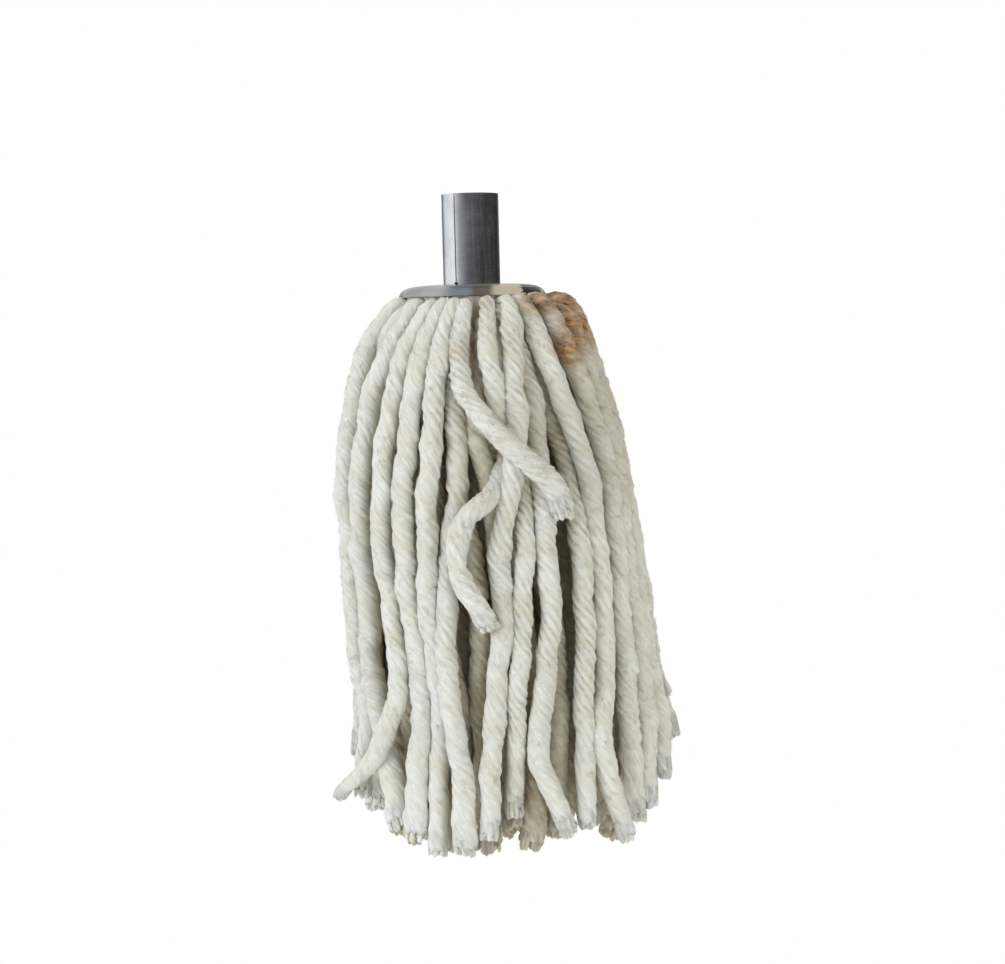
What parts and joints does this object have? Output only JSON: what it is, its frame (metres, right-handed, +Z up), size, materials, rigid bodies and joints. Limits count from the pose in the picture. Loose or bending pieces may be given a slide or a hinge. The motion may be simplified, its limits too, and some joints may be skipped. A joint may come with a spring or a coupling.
{
  "type": "string mop head",
  "caption": "String mop head: rolled steel socket clenched through a pressed cover plate and a lower washer, holding a skirt of thick soft-twisted cotton yarns.",
  "frame": {"origin": "centre of the socket's mouth, at the open top end of the tube", "axes": "+Z up along the socket's axis and out of its mouth; -Y towards the side that the picture shows; +X to that view's right"},
  "size_m": [0.1386, 0.1342, 0.279],
  "materials": {
    "galvanised_steel": "galvanised, semi-bright, with a lengthwise seam and handling marks",
    "plated_steel": "bright zinc plate, lightly marked",
    "cotton_yarn": "off-white soft-twisted cotton, slightly fuzzy, with an orange-brown stain near the clamp on one side"
  },
  "bodies": {
    "head": {"socket": "galvanised_steel", "cover_plate": "plated_steel", "yarn_pad": "cotton_yarn", "clamp_washer": "plated_steel"},
    "tuft_1": {"outer_strand_1": "cotton_yarn", "outer_strand_2": "cotton_yarn", "outer_strand_3": "cotton_yarn", "outer_strand_4": "cotton_yarn", "outer_strand_5": "cotton_yarn", "outer_strand_6": "cotton_yarn", "middle_strands_1": "cotton_yarn", "inner_strands_1": "cotton_yarn"},
    "tuft_2": {"outer_strand_7": "cotton_yarn", "outer_strand_8": "cotton_yarn", "outer_strand_9": "cotton_yarn", "outer_strand_10": "cotton_yarn", "outer_strand_11": "cotton_yarn", "outer_strand_12": "cotton_yarn", "middle_strands_2": "cotton_yarn", "inner_strands_2": "cotton_yarn"},
    "tuft_3": {"outer_strand_13": "cotton_yarn", "outer_strand_14": "cotton_yarn", "outer_strand_15": "cotton_yarn", "outer_strand_16": "cotton_yarn", "outer_strand_17": "cotton_yarn", "outer_strand_18": "cotton_yarn", "middle_strands_3": "cotton_yarn", "inner_strands_3": "cotton_yarn"},
    "tuft_4": {"outer_strand_19": "cotton_yarn", "outer_strand_20": "cotton_yarn", "outer_strand_21": "cotton_yarn", "outer_strand_22": "cotton_yarn", "outer_strand_23": "cotton_yarn", "outer_strand_24": "cotton_yarn", "middle_strands_4": "cotton_yarn", "inner_strands_4": "cotton_yarn"},
    "tuft_5": {"outer_strand_25": "cotton_yarn", "outer_strand_26": "cotton_yarn", "outer_strand_27": "cotton_yarn", "outer_strand_28": "cotton_yarn", "outer_strand_29": "cotton_yarn", "outer_strand_30": "cotton_yarn", "middle_strands_5": "cotton_yarn", "inner_strands_5": "cotton_yarn"},
    "tuft_6": {"outer_strand_31": "cotton_yarn", "outer_strand_32": "cotton_yarn", "outer_strand_33": "cotton_yarn", "outer_strand_34": "cotton_yarn", "outer_strand_35": "cotton_yarn", "outer_strand_36": "cotton_yarn", "middle_strands_6": "cotton_yarn", "inner_strands_6": "cotton_yarn"}
  },
  "joints": [
    {"name": "tuft_1_splay", "type": "hinge", "parent": "head", "child": "tuft_1", "pos_m": [0.0053, -0.03004, -0.046], "axis": [-0.9848, -0.1736, 0], "range_deg": [0, 30]},
    {"name": "tuft_2_splay", "type": "hinge", "parent": "head", "child": "tuft_2", "pos_m": [0.02866, -0.01043, -0.046], "axis": [-0.342, -0.9397, 0], "range_deg": [0, 30]},
    {"name": "tuft_3_splay", "type": "hinge", "parent": "head", "child": "tuft_3", "pos_m": [0.02336, 0.01961, -0.046], "axis": [0.6428, -0.766, 0], "range_deg": [0, 30]},
    {"name": "tuft_4_splay", "type": "hinge", "parent": "head", "child": "tuft_4", "pos_m": [-0.0053, 0.03004, -0.046], "axis": [0.9848, 0.1736, 0], "range_deg": [0, 30]},
    {"name": "tuft_5_splay", "type": "hinge", "parent": "head", "child": "tuft_5", "pos_m": [-0.02866, 0.01043, -0.046], "axis": [0.342, 0.9397, 0], "range_deg": [0, 30]},
    {"name": "tuft_6_splay", "type": "hinge", "parent": "head", "child": "tuft_6", "pos_m": [-0.02336, -0.01961, -0.046], "axis": [-0.6428, 0.766, 0], "range_deg": [0, 30]}
  ]
}
